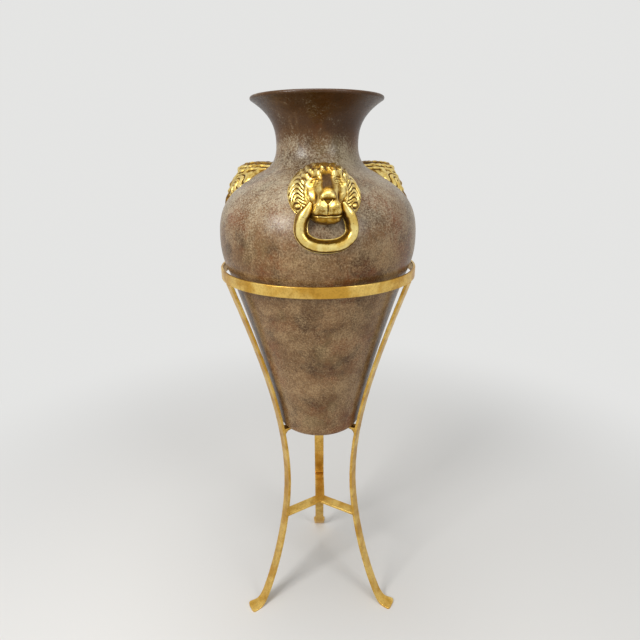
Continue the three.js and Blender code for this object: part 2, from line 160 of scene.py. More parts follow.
def run_along(line):
    """Length of a flat line from its start to each of its points."""
    return np.r_[0, np.cumsum(np.hypot(*np.diff(line, axis=0).T))]


def evenly(line, count):
    """The line again, as count points at equal steps of its length."""
    length = run_along(line)
    at = np.linspace(0, length[-1], count)
    return np.column_stack([np.interp(at, length, column) for column in line.T])


def right_normal(line):
    """Unit normals of a line in radius and height, to the right of its direction of travel."""
    along = unit(np.gradient(line, axis=0))
    return np.column_stack([along[:, 1], -along[:, 0]])


WALL = chain(WALL_STATIONS, 80) + [0, UNDERSIDE]


def wall_radius(height):
    """Radius of the vase's outer wall at a height above the floor."""
    return np.interp(height, WALL[:, 1], WALL[:, 0])


def wall_front(across, height):
    """How far the wall stands out in a head's own plane, at a place across it and a height: the square
    root of the wall's radius squared less the place across squared."""
    return np.sqrt(np.maximum(wall_radius(height) ** 2 - across**2, 0))


def placed(azimuth, out, across, up):
    """Points given by their reach out from the axis, across the azimuth and height, in millimetres."""
    turn = np.radians(azimuth)
    x = out * np.cos(turn) - across * np.sin(turn)
    y = out * np.sin(turn) + across * np.cos(turn)
    return np.stack(np.broadcast_arrays(x, y, up), axis=-1)


def turned(out, turn, up):
    """Points at a reach out from the axis, turned about it, and a height."""
    return np.stack([out * np.cos(turn), out * np.sin(turn), np.broadcast_to(up, out.shape)], axis=-1)


def facing(points):
    """Unit normals, turned away from the axis, of a grid that closes on itself across its columns."""
    down_rows = np.gradient(points, axis=0)
    round_columns = (np.roll(points, -1, 1) - np.roll(points, 1, 1)) / 2
    return unit(np.cross(down_rows, round_columns))


def softened(values, rounds):
    """A grid blurred by averaging each point with its four neighbours, round after round."""
    for _ in range(rounds):
        up = np.vstack([values[:1], values[:-1]])
        down = np.vstack([values[1:], values[-1:]])
        values = (2 * values + np.roll(values, 1, 1) + np.roll(values, -1, 1) + up + down) / 6
    return values


def shown(name, data):
    """An object that shows some data in the scene."""
    thing = bpy.data.objects.new(name, data)
    bpy.context.scene.collection.objects.link(thing)
    return thing


def skin(name, rings, material, body, slot, replaces, marks=None, endless=False, flat_ends=False):
    """Closed mesh over a stack of closed rings of points. Neighbouring rings are joined by quads. The end
    rings close on their own middle, on one flat face, or on each other where the piece is endless. The
    faces are turned so that the volume they enclose is positive. Marks are values kept at the points, by
    name."""
    rows, columns = rings.shape[:2]
    points = rings.reshape(-1, 3)
    column = np.arange(columns)[None, :]
    after = (column + 1) % columns
    row = np.arange(rows if endless else rows - 1)[:, None]
    this = row * columns
    above = (row + 1) % rows * columns
    quads = np.stack([this + column, this + after, above + after, above + column]).reshape(4, -1).T
    first = np.arange(columns)
    last = first + (rows - 1) * columns
    middles = np.vstack([points[first].mean(0), points[last].mean(0)])
    fans = np.zeros((0, 3), int)
    lids = []
    if flat_ends:
        lids = [first[::-1], last]
    elif not endless:
        low_pole, high_pole = len(points), len(points) + 1
        low_fan = np.column_stack([np.full(columns, low_pole), np.roll(first, -1), first])
        high_fan = np.column_stack([np.full(columns, high_pole), last, np.roll(last, -1)])
        fans = np.vstack([low_fan, high_fan])
        points = np.vstack([points, middles])
    halves = np.vstack([quads[:, :3], quads[:, [0, 2, 3]], fans])
    a, b, c = (points[halves[:, k]] - middles[0] for k in range(3))
    if np.einsum("ij,ij->", a, np.cross(b, c)) < 0:
        quads, fans, lids = quads[:, ::-1], fans[:, ::-1], [lid[::-1] for lid in lids]
    corners = np.concatenate([quads.ravel(), fans.ravel(), *lids])
    sizes = np.r_[np.full(len(quads), 4), np.full(len(fans), 3), [len(lid) for lid in lids]].astype(int)

    mesh = bpy.data.meshes.new(name)
    mesh.vertices.add(len(points))
    mesh.vertices.foreach_set("co", (points * MM + AXIS).astype(np.float32).ravel())
    mesh.loops.add(len(corners))
    mesh.loops.foreach_set("vertex_index", corners.astype(np.int32))
    mesh.polygons.add(len(sizes))
    mesh.polygons.foreach_set("loop_start", np.r_[0, np.cumsum(sizes)[:-1]].astype(np.int32))
    mesh.update(calc_edges=True)
    mesh.validate()
    mesh.shade_smooth()
    for mark, values in (marks or {}).items():
        grid = np.broadcast_to(values, (rows, columns))
        ends = [] if endless or flat_ends else [grid[0].mean(), grid[-1].mean()]
        layer = mesh.attributes.new(mark, "FLOAT", "POINT")
        layer.data.foreach_set("value", np.r_[grid.ravel(), ends].astype(np.float32))
    mesh.materials.append(material)
    piece = shown(name, mesh)
    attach(piece, body)
    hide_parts(*replaces)


class Nodes:
    """Adds shader nodes to a tree. A value for an input is a number, a colour, or a socket to link to."""

    def __init__(self, tree):
        self.tree = tree

    def feed(self, socket, value):
        """Links a socket to another one, or sets the value on the socket itself."""
        if isinstance(value, bpy.types.NodeSocket):
            self.tree.links.new(value, socket)
        else:
            socket.default_value = value

    def fill(self, node, **inputs):
        """Feeds inputs of a node. An input goes by its name, or by i and its number."""
        for key, value in inputs.items():
            numbered = key[0] == "i" and key[1:].isdigit()
            self.feed(node.inputs[int(key[1:]) if numbered else key.replace("_", " ")], value)
        return node

    def add(self, kind, settings=None, **inputs):
        """A new node of a kind, with its settings and inputs."""
        node = self.tree.nodes.new(f"ShaderNode{kind}")
        for key, value in (settings or {}).items():
            setattr(node, key, value)
        return self.fill(node, **inputs)

    def place(self):
        """Place on the object, in metres."""
        return self.add("TexCoord").outputs["Object"]

    def mix(self, share, low, high):
        """One colour over another by a share."""
        node = self.add("Mix", {"data_type": "RGBA"}, i0=share, i6=low, i7=high)
        return node.outputs[2]

    def math(self, operation, a, b=0.0):
        """One sum, product or other result of two numbers."""
        return self.add("Math", {"operation": operation}, i0=a, i1=b).outputs[0]

    def ramp(self, value, low, high, out_low=0.0, out_high=1.0):
        """A value between low and high as a smooth share, or as a smooth step between two other values."""
        settings = {"interpolation_type": "SMOOTHSTEP"}
        node = self.add("MapRange", settings, i0=value, i1=low, i2=high, i3=out_low, i4=out_high)
        return node.outputs[0]

    def tint(self, colour, mask, share, other):
        """A colour with another laid over it where a mask is, up to a share."""
        return self.mix(self.math("MULTIPLY", mask, share), colour, other)


def new_group(name, numbers, output, output_type):
    """A shader node group with number inputs and one output."""
    tree = bpy.data.node_groups.new(name, "ShaderNodeTree")
    for label, value in numbers.items():
        socket = tree.interface.new_socket(label, in_out="INPUT", socket_type="NodeSocketFloat")
        socket.default_value = value
    tree.interface.new_socket(output, in_out="OUTPUT", socket_type=output_type)
    return tree, tree.nodes.new("NodeGroupInput").outputs, tree.nodes.new("NodeGroupOutput").inputs[output]


def clouds_group():
    """Soft patches: a warped noise at some scale, cut between two levels and shifted by places."""
    numbers = {"Scale": 10, "Detail": 4, "Roughness": 0.55, "Warp": 0.4, "Places": 0, "Low": 0.4, "High": 0.6}
    tree, given, mask = new_group("clouds", numbers, "Mask", "NodeSocketFloat")
    n = Nodes(tree)
    shift = n.add("CombineXYZ", None, X=given["Places"], Z=given["Places"]).outputs[0]
    moved = n.add("VectorMath", {"operation": "ADD"}, i0=n.place(), i1=shift).outputs[0]
    noise = n.add("TexNoise", None, Vector=moved, Distortion=given["Warp"])
    n.fill(noise, Scale=given["Scale"], Detail=given["Detail"], Roughness=given["Roughness"])
    n.feed(mask, n.ramp(noise.outputs[0], given["Low"], given["High"]))
    return tree


def grain_group():
    """Uneven surface: a coarse and a fine noise added up as the height of a bump, in metres."""
    numbers = {"Coarse": 120, "Fine": 900, "Depth": 0.0003, "Fine Share": 0.4}
    tree, given, normal = new_group("grain", numbers, "Normal", "NodeSocketVector")
    n = Nodes(tree)
    where = n.place()
    coarse = n.add("TexNoise", None, Vector=where, Scale=given["Coarse"], Detail=3.0).outputs[0]
    fine = n.add("TexNoise", None, Vector=where, Scale=given["Fine"], Detail=2.0).outputs[0]
    share = n.math("MULTIPLY", fine, given["Fine Share"])
    height = n.math("MULTIPLY", n.math("ADD", coarse, share), given["Depth"])
    n.feed(normal, n.add("Bump", None, Strength=1.0, Distance=1.0, Height=height).outputs[0])
    return tree


CLOUDS = clouds_group()
GRAIN = grain_group()


def patches(n, scale, low, high, places=0.0, detail=4.0, warp=0.4, rough=0.55):
    """One mask of soft patches."""
    numbers = {"Scale": scale, "Detail": detail, "Roughness": rough, "Warp": warp, "Places": places}
    node = n.add("Group", {"node_tree": CLOUDS}, Low=low, High=high, **numbers)
    return node.outputs["Mask"]


def grained(n, coarse, fine, depth):
    """Normals of a surface with some grain."""
    node = n.add("Group", {"node_tree": GRAIN}, Coarse=coarse, Fine=fine, Depth=depth)
    return node.outputs["Normal"]


def new_material(name):
    """A material, its nodes and its shader."""
    material = bpy.data.materials.new(name)
    material.use_nodes = True
    tree = material.node_tree
    return material, Nodes(tree), tree.nodes["Principled BSDF"]


def linear(red, green, blue):
    """A colour given as it looks on screen, from 0 to 255, in the linear values that the shader takes."""
    share = np.array([red, green, blue]) / 255
    straight = np.where(share <= 0.04045, share / 12.92, ((share + 0.055) / 1.055) ** 2.4)
    return (*(float(value) for value in straight), 1)


CLAY_BROWN = linear(96, 64, 30)
CLAY_TAUPE = linear(120, 88, 54)
CLAY_RUST = linear(110, 56, 14)
CLAY_UMBER = linear(60, 38, 14)
CLAY_GREY_GREEN = linear(104, 96, 60)
# Dark maroon of the patches on the neck under the lip
CLAY_NECK_DARK = linear(62, 36, 6)
CLAY_DARK_SPECKS = linear(60, 36, 14)
DABS_LOW = linear(176, 148, 108)
# Grey of the pale dabs on the shoulders: a painted sky reflection
DABS_PAINTED_SHEEN = linear(188, 176, 150)
LEAF_GOLD = linear(224, 190, 100)
LEAF_PALE = linear(244, 222, 144)
LEAF_OCHRE = linear(146, 106, 28)
LEAF_BROWN = linear(70, 44, 4)
LEAF_PITS = linear(84, 62, 30)
GILT_DEEP = linear(204, 156, 62)
GILT_BRIGHT = linear(234, 198, 110)
GILT_THIN = linear(150, 100, 26)
GILT_SPECKS = linear(120, 82, 26)
GILT_WORN = linear(96, 66, 34)
# Heights above the floor between which the pale dabs turn grey as a painted sky reflection on the
# shoulders, and the darker patches under the lip set in
SHEEN_RISE = (0.9, 1.03)
NECK_DARK_RISE = (1.1, 1.15)


def earthenware():
    """Fired clay with a rubbed, patinated surface: taupe and brown clouds, rust, umber and grey-green
    patches, a fine stipple of pale and dark dabs, the pale ones greyer and denser on the shoulders as a
    painted sky reflection, darker maroon patches on the neck under the lip, and a satin sheen that the
    stipple breaks up."""
    material, n, shader = new_material("earthenware")
    height = n.add("SeparateXYZ", None, Vector=n.place()).outputs[2]
    # Painted sky reflection: the pale dabs turn greyer and denser up the shoulders
    painted_sheen_top = n.ramp(height, *SHEEN_RISE)
    clouds = patches(n, 13, 0.4, 0.6, places=7.7, detail=7, rough=0.6)
    rust = patches(n, 10, 0.47, 0.64, places=2.9, detail=8, rough=0.62)
    umber = patches(n, 16, 0.48, 0.64, places=9.4, detail=8, rough=0.62)
    grey_green = patches(n, 12, 0.52, 0.7, places=4.1, detail=7)
    # Darker maroon patches on the neck under the lip, where the pale dabs thin out
    neck_dark_patches = patches(n, 9, 0.26, 0.5, places=5.2, detail=8, rough=0.7)
    neck_darkening = n.math("MULTIPLY", n.ramp(height, *NECK_DARK_RISE), neck_dark_patches)
    dabs = patches(n, 340, 0.0, 1.0, places=3.1, detail=4, warp=0.0, rough=0.7)
    broad_dabs = patches(n, 12, 0.36, 0.64, places=1.3, detail=6)
    small_dabs = patches(n, 34, 0.36, 0.64, places=5.9, detail=5)
    for mask, share in ((broad_dabs, 0.2), (small_dabs, 0.12), (painted_sheen_top, 0.07), (neck_darkening, -0.4)):
        dabs = n.math("ADD", dabs, n.math("MULTIPLY", mask, share))
    dark_specks = patches(n, 240, 0.42, 0.66, places=6.4, detail=4, warp=0.0, rough=0.75)

    colour = n.mix(clouds, CLAY_BROWN, CLAY_TAUPE)
    colour = n.tint(colour, rust, 0.75, CLAY_RUST)
    colour = n.tint(colour, umber, 0.75, CLAY_UMBER)
    colour = n.tint(colour, grey_green, 0.4, CLAY_GREY_GREEN)
    colour = n.tint(colour, neck_darkening, 0.85, CLAY_NECK_DARK)
    # Pale dabs, greyer on the shoulders as a painted sky reflection
    colour = n.tint(colour, n.ramp(dabs, 0.46, 0.96), 0.68, n.mix(painted_sheen_top, DABS_LOW, DABS_PAINTED_SHEEN))
    colour = n.tint(colour, dark_specks, 0.42, CLAY_DARK_SPECKS)
    sheen_breaks = patches(n, 240, 0.3, 0.7, places=8.8, warp=0.0)
    rough = n.ramp(sheen_breaks, 0.0, 1.0, 0.27, 0.4)
    normal = grained(n, 200.0, 900.0, 0.00005)
    n.fill(shader, Base_Color=colour, Roughness=rough, Normal=normal, Specular_IOR_Level=0.3)
    return material


def gold_leaf():
    """Gold leaf rubbed thin over brown size: pale on the crests, ochre where the mark patina_and_shade is
    half, and brown in the hollows and where that mark paints shade, with small pits."""
    material, n, shader = new_material("gold_leaf")
    # The patina_and_shade mark: patina in hollows, with painted shade on what looks down, in broad hollows
    # and on the ring's flanks
    hollow = n.add("Attribute", {"attribute_name": "patina_and_shade"}).outputs["Fac"]
    rubbed = patches(n, 120, 0.4, 0.7, places=1.9, detail=6)
    brown = n.math("ADD", hollow, n.math("MULTIPLY", rubbed, 0.3))
    pits = patches(n, 300, 0.66, 0.72, places=5.5, detail=2, warp=0.0)
    colour = n.mix(patches(n, 60, 0.35, 0.65, places=3.3), LEAF_GOLD, LEAF_PALE)
    colour = n.mix(n.ramp(brown, 0.15, 0.65), colour, LEAF_OCHRE)
    colour = n.mix(n.ramp(brown, 0.6, 1.05), colour, LEAF_BROWN)
    colour = n.tint(colour, pits, 0.6, LEAF_PITS)
    metal = n.ramp(brown, 0.5, 1.1, 1.0, 0.3)
    rough = n.ramp(brown, 0.0, 1.0, 0.3, 0.5)
    normal = grained(n, 220.0, 1200.0, 0.00005)
    n.fill(shader, Base_Color=colour, Metallic=metal, Roughness=rough, Normal=normal, Specular_IOR_Level=0.2)
    return material


def gilt_iron():
    """Gilt paint on flat bar: brushed-on tone, orange where it is thin, brown where the mark edge or a
    scuff is."""
    material, n, shader = new_material("gilt_iron")
    edge = n.add("Attribute", {"attribute_name": "edge"}).outputs["Fac"]
    thin = patches(n, 34, 0.46, 0.74, places=6.1, detail=6)
    specks = patches(n, 300, 0.4, 0.75, places=8.3, detail=3, warp=0.0)
    scuffs = patches(n, 110, 0.6, 0.74, places=4.6, detail=7)
    rubbing = n.math("ADD", n.math("MULTIPLY", edge, 0.42), n.math("MULTIPLY", scuffs, 0.6))
    wear = n.ramp(rubbing, 0.45, 1.0)
    colour = n.mix(patches(n, 22, 0.36, 0.64, places=2.2, detail=5), GILT_DEEP, GILT_BRIGHT)
    colour = n.tint(colour, thin, 0.45, GILT_THIN)
    colour = n.tint(colour, specks, 0.3, GILT_SPECKS)
    colour = n.mix(wear, colour, GILT_WORN)
    metal = n.ramp(wear, 0.0, 1.0, 0.9, 0.4)
    rough = n.ramp(wear, 0.0, 1.0, 0.36, 0.6)
    normal = grained(n, 150.0, 800.0, 0.0001)
    n.fill(shader, Base_Color=colour, Metallic=metal, Roughness=rough, Normal=normal)
    return material


CLAY = earthenware()
LEAF = gold_leaf()
GILT = gilt_iron()


def circle(middle, radius, angle):
    """Points of a circle in radius and height, at angles up from the outward direction."""
    return middle + radius * np.column_stack([np.cos(angle), np.sin(angle)])


def vase_line():
    """Closed line of the vase from the middle of its underside round the foot, up the outer wall, over
    the rolled lip, down the inner wall and in to the middle of the inner floor, as radius and height."""
    outer = evenly(WALL, WALL_STEPS)
    normal = right_normal(outer)
    thinning = smooth(outer[:, 1] - UNDERSIDE, NECK_HEIGHT, LIP_HEIGHT)
    thickness = WALL_THICKNESS + (LIP_THICKNESS - WALL_THICKNESS) * thinning
    inner = outer - normal * thickness[:, None]
    inner = inner[inner[:, 1] > UNDERSIDE + INNER_FLOOR + INNER_EDGE]
    edge = circle(WALL[0] - [FOOT_EDGE, 0], FOOT_EDGE, np.linspace(-QUARTER_TURN, 0, EDGE_STEPS))
    half_lip = LIP_THICKNESS / 2
    over = np.arctan2(normal[-1, 1], normal[-1, 0]) + np.linspace(0, np.pi, LIP_STEPS)[1:-1]
    lip = circle(outer[-1] - normal[-1] * half_lip, half_lip, over)
    under_radius = np.linspace(DISC_MIDDLE, edge[0, 0] - DISC_INSET, DISC_STEPS)
    under = np.column_stack([under_radius, np.full(DISC_STEPS, UNDERSIDE + FOOT_RISE)])
    floor_radius = inner[0, 0] - INNER_EDGE
    floor_middle = np.array([floor_radius, UNDERSIDE + INNER_FLOOR + INNER_EDGE])
    corner = circle(floor_middle, INNER_EDGE, np.linspace(0, -QUARTER_TURN, CORNER_STEPS))
    inner_radius = np.linspace(floor_radius - DISC_INSET, DISC_MIDDLE, DISC_STEPS)
    inner_floor = np.column_stack([inner_radius, np.full(DISC_STEPS, UNDERSIDE + INNER_FLOOR)])
    return np.vstack([under, edge[:-1], outer, lip, inner[::-2], corner, inner_floor])


def vase_body(sides=264):
    """The thrown body: its line turned about the axis. Away from foot and axis, its radius sways by a few
    sines of the turn and height, as a hand-made pot's does."""
    line = vase_line()
    turn = np.linspace(0, FULL_TURN, sides, endpoint=False)[None, :]
    radius, height = line[:, :1], line[:, 1:]
    sway = sum(far * np.sin(waves * turn + height / pitch + start) for far, waves, pitch, start in SWAYS)
    reach = radius + sway * smooth(radius, *SWAY_RADII) * smooth(height, UNDERSIDE, UNDERSIDE + SWAY_RISE)
    skin("vase_skin", turned(reach, turn, height), CLAY, "vase", "earthenware", ["vase_body"])


# Muzzle: height above the face's middle, reach beyond the face, half width and softness of its sides
MUZZLE = [
    (-50, 13, 9, 0.4),
    (-48, 17, 16, 0.36),
    (-45, 19.5, 21.5, 0.32),
    (-40, 20.5, 25, 0.3),
    (-35, 20, 26, 0.28),
    (-31, 19, 26, 0.26),
    (-28, 20, 25.5, 0.26),
    (-21, 20.5, 24.5, 0.28),
    (-13, 20.5, 23.5, 0.34),
    (0, 20.5, 20, 0.5),
    (4.5, 19.5, 18.5, 0.55),
    (9, 17, 17, 0.6),
    (13, 14, 16, 0.6),
    (17, 10, 15, 0.6),
    (22, 4.5, 14, 0.6),
    (27, -2.5, 13, 0.6),
    (31, -2.5, 13, 0.6),
    (37, 0, 13, 0.6),
]
# Carved forms on both halves of the face: middle across and up, half sizes, and how proud
FACE_FORMS = {
    "nostril": (9.5, -7.0, 2.6, 2.0, -1.7),
    "whisker pad": (13.5, -15.5, 6.8, 6.2, 4.2),
    "inner pad": (6.5, -19.5, 5.0, 5.0, 1.8),
    "lower pad": (17.5, -24.5, 7.5, 5.0, 1.6),
    "lip corner": (25, -28, 6.5, 4, 1.4),
    "eye hollow": (18, 22.5, 7.0, 5.5, -3.8),
    "eyeball": (18, 21.6, 4.2, 3.0, 2.4),
    "cheek": (26.5, 1, 5.5, 8.5, 4.0),
    "nose furrow": (19.5, -5, 3, 9, -2.4),
    "temple": (29.5, 15, 4, 6.5, 1.8),
    "brow furrow": (0, 31, 5, 8, -1.8),
}
# Knobs on the brow and along the hairline: across and up, radius and how proud
BROW_KNOBS = [
    (12.5, 31.5, 5.2, 5.0),
    (23.5, 33.5, 4.8, 4.0),
    (32.5, 27, 4.4, 3.6),
    (37.5, 18.5, 3.4, 2.6),
    (6.5, 40.5, 3.8, 2.8),
    (17, 42, 4.2, 3.4),
    (28.5, 40, 4.2, 3.4),
    (37, 33.5, 3.6, 2.8),
]
# Rows of tufts on the crown: distance over the surface from the face's middle, proudness and half size
TUFT_ROWS = [
    (43, 1.8, 3.0),
    (49.5, 2.6, 3.6),
    (57, 3.0, 4.2),
    (66, 3.2, 5.0),
    (77, 3.2, 5.8),
    (90, 3.0, 6.4),
    (104, 2.6, 6.6),
    (119, 2.2, 6.6),
]
# Tufts stand between two angles up from the side, some half sizes apart, and turn into lengths at a radius
TUFT_ANGLES = (22, 159)
TUFT_SPACING = 3.1
TUFT_RADIUS = 48
LOCK_ANGLE = np.radians(9.6)
LOCK_DRAWS = 64
# Knob in a curl under each ear: across and up
EAR_KNOB = (49.5, -20)
# Angles down from the side between which the chin begins, and distances between which the face ends
CHIN_ANGLES = (0.62, 0.85)
FACE_EDGE = (36, 41)
# Hair along the face's edge: how proud, at what distance, half width, and angles where it begins and ends
COLLAR = (2.2, 34.5, 2.4)
COLLAR_START = (-0.7, -0.4)
COLLAR_END = (0.62, 0.9)
# Distance from the rim over which the carving fades out
RIM_FADE = (0.5, 7)


def muzzle(across, up):
    """How far the muzzle stands out: its reach along the middle, falling away at its half width."""
    side = np.abs(across)
    reach, half, soft = (np.interp(up, *np.array(MUZZLE).T[[0, k]]) for k in (1, 2, 3))
    return reach * (1 - smooth(side, (0.9 - soft) * half, (0.9 + soft) * half))


def under_nose(across, up):
    """Share of the flat triangle under the nose: 1 inside, 0 outside."""
    half = np.interp(up, [-15, -5.5], [0.3, 8.5])
    inside = 1 - smooth(np.abs(across), half - 1.1, half + 0.7)
    return inside * smooth(-up, 4, 7) * (1 - smooth(-up, 13.5, 15.5))


def bridge_hair(across, up):
    """Share of the short hair that covers the bridge of the nose between the brows and the nose."""
    half = np.interp(up, [2, 10, 30], [11.5, 11, 9.5])
    return (1 - smooth(np.abs(across), half - 5, half + 2)) * smooth(up, 2, 17) * (1 - smooth(up, 28, 40))


def face_relief(across, up):
    """Carved forms of the face, proud or sunk along its normals: round forms, a nose roll that droops at
    its ends over a flat triangle, and welts and grooves for mouth, lips, chin, lids, chisel marks and
    hair on the bridge."""
    side = np.abs(across)
    forms = sum(proud * bump(side - x, up - y, wide, tall) for x, y, wide, tall, proud in FACE_FORMS.values())
    from_roll = np.abs((up - 0.4 + 0.035 * side**2) / 5.0)
    roll = 4.4 * np.exp(-(from_roll**2.2)) * (1 - smooth(side, 7.5, 14.5))

    above_mouth = up + 32.2 - 0.035 * side - 0.25 * np.sin(across / 2.7)
    lips = 1 - smooth(side, 20, 27)
    mouth = lips * (1.2 * welt(above_mouth + 2.2, 1.1) - 1.6 * welt(above_mouth, 0.9))
    chin = 1.5 * welt(up + 41, 5.2) * lips
    groove = 1.5 * welt(across, 1.0) * smooth(-up, 14, 17) * (1 - smooth(-up, 31, 33))

    near_eye = 1 - smooth(np.abs(side - 18), 3, 7)
    bow = (side - 18) ** 2
    upper_lid = 0.6 * welt(up - 25.4 + 0.06 * bow, 0.9) * near_eye
    lower_lid = 0.45 * welt(up - 18.4 - 0.05 * bow, 0.9) * near_eye
    beside_eye = 0.4 * bump(side - 21, up - 19, 8, 8)
    chisel_marks = beside_eye * np.sin(side * 0.9 + up * 1.1) * np.sin(side * 0.45 - up * 0.6 + 1)
    strands = np.sin(across * 2.6 + 1.3 * np.sin(up / 3.7)) * (0.55 + 0.45 * np.sin(up / 2.1 + across * 1.7))
    hair = 0.26 * strands * bridge_hair(across, up)
    proud = forms + roll + mouth + chin + upper_lid + lower_lid + chisel_marks + hair
    return proud - groove - 1.3 * under_nose(across, up)


def whiskers(across, up):
    """Fine curved grooves over the whisker pads: waves of the distance from a point above and beside the
    nose."""
    side = np.abs(across)
    away = np.hypot(side + 6, (up + 6) * 1.25)
    pad = bump(side - 14, up + 23.5, 9, 6.5)
    uneven = 0.6 + 0.4 * np.sin(side * 0.9 + up * 0.5)
    return -0.2 * uneven * np.cos(away * 2.5 + 0.8 * np.sin(side / 2.2)) * smooth(pad, 0.2, 0.7)


def tufts(turn, reach):
    """Locks over the crown, in staggered rows that get coarser towards the neck: each a lump with a
    curled furrow, moved and sized a little at random."""
    rng = np.random.default_rng(11)
    total = np.zeros(np.broadcast(turn, reach).shape)
    start, end = TUFT_ANGLES
    for row, (at, proud, size) in enumerate(TUFT_ROWS):
        step = TUFT_SPACING * size
        for degrees in np.arange(start + 0.5 * step * (row % 2), end, step):
            jitter = rng.uniform(-1, 1, 4)
            place = np.radians(degrees + 0.2 * step * jitter[0])
            far = reach - at - 0.3 * size * jitter[1]
            wide = (turn - place) * TUFT_RADIUS - 0.25 * far * np.sign(90 - degrees)
            lump = (proud + 0.6 * jitter[2]) * bump(wide, far, size * (0.85 + 0.1 * jitter[3]), 1.15 * size)
            furrow = 1 - 0.3 * np.cos(2.6 * wide / size + 1.2 * far / size)
            total = np.maximum(total, lump * furrow)
    return total


def mane_relief(across, up, distance, turn, folded, reach):
    """Locks of the mane: crests that lie over one another, bent up and then down on their way out at the
    sides, each as proud as a random draw makes it, tufts over the crown behind knobs on the brow, and a
    knob in a curl under each ear."""
    side = np.abs(across)
    bend = 0.17 * welt(distance - 48, 7.0) - 0.26 * smooth(distance, 52, 64)
    crown = smooth(folded, 0.42, 0.62)
    lock = (folded - bend + 0.05 * np.sin(3 * turn) + 0.02 * np.sin(distance / 4.3)) / LOCK_ANGLE
    share = np.mod(lock, 1)
    draws = np.random.default_rng(5).uniform(0.75, 1.25, LOCK_DRAWS)
    strength = draws[(np.floor(lock).astype(int) + LOCK_DRAWS // 2 * (across > 0)) % LOCK_DRAWS]
    ridge = strength * np.sin(np.pi * share**0.7) ** 0.9
    strand = 0.2 * np.sin(FULL_TURN * 3 * share) * ridge
    begun = smooth(distance, 35.5, 42)
    sides = (1 - crown) * begun * (3.2 * ridge + strand - 1.5)
    top = crown * smooth(distance, 34, 40) * (tufts(turn, reach) - 0.5)
    brow = sum(proud * bump(side - x, up - y, wide, wide) for x, y, wide, proud in BROW_KNOBS)
    from_knob = np.hypot(side - EAR_KNOB[0], up - EAR_KNOB[1])
    around_knob = 1 - smooth(from_knob, 7, 10.5)
    knob = (3.4 * welt(from_knob, 3.4) + 2.0 * welt(from_knob - 8, 1.7) - 1.2) * begun
    return sides * (1 - around_knob) + knob * around_knob + top + brow


def crown_drop(high, out):
    """How far a head's crown drops at a reach from the axis: high is 1 at the top of the head and 0 at
    its sides."""
    return CROWN_DROP * high * np.clip((CROWN_START - out) / CROWN_RUN, 0, 1) ** 2


def head_patina_and_shade(bare, carved, points, face, chin):
    """How brown the leaf of a head is, from its bare form, how far it is carved and its carved points: 1
    in fine hollows, on the hair of the bridge and between the tufts, less in broad hollows as patina with
    painted shade, on what looks down as painted shade, under the nose and at the jaw, and least on the
    crests."""
    out, across, up = np.moveaxis(bare, -1, 0)
    detail = carved - softened(carved, 30)
    broad = out + carved
    broad = broad - softened(broad, 300)
    browned = [
        0.95 * smooth(-detail, -0.15, 0.75),
        0.92 * bridge_hair(across, up),
        0.55 * under_nose(across, up),
        0.75 * smooth(up, 34, 42) * (1 - smooth(detail, 0.2, 1.1)),
        # Patina with painted shade in broad hollows, and painted shade on what looks down
        0.55 * smooth(-broad, -0.5, 3.5) + 0.5 * smooth(-facing(points)[..., 2], 0.15, 0.8),
    ]
    jaw = 0.3 * smooth(-up, 33, 37) * chin
    crest = 0.25 * smooth(detail, 0.1, 0.8)
    return np.clip(np.maximum.reduce(browned) + jaw + 0.14 * face - crest, 0, 1)


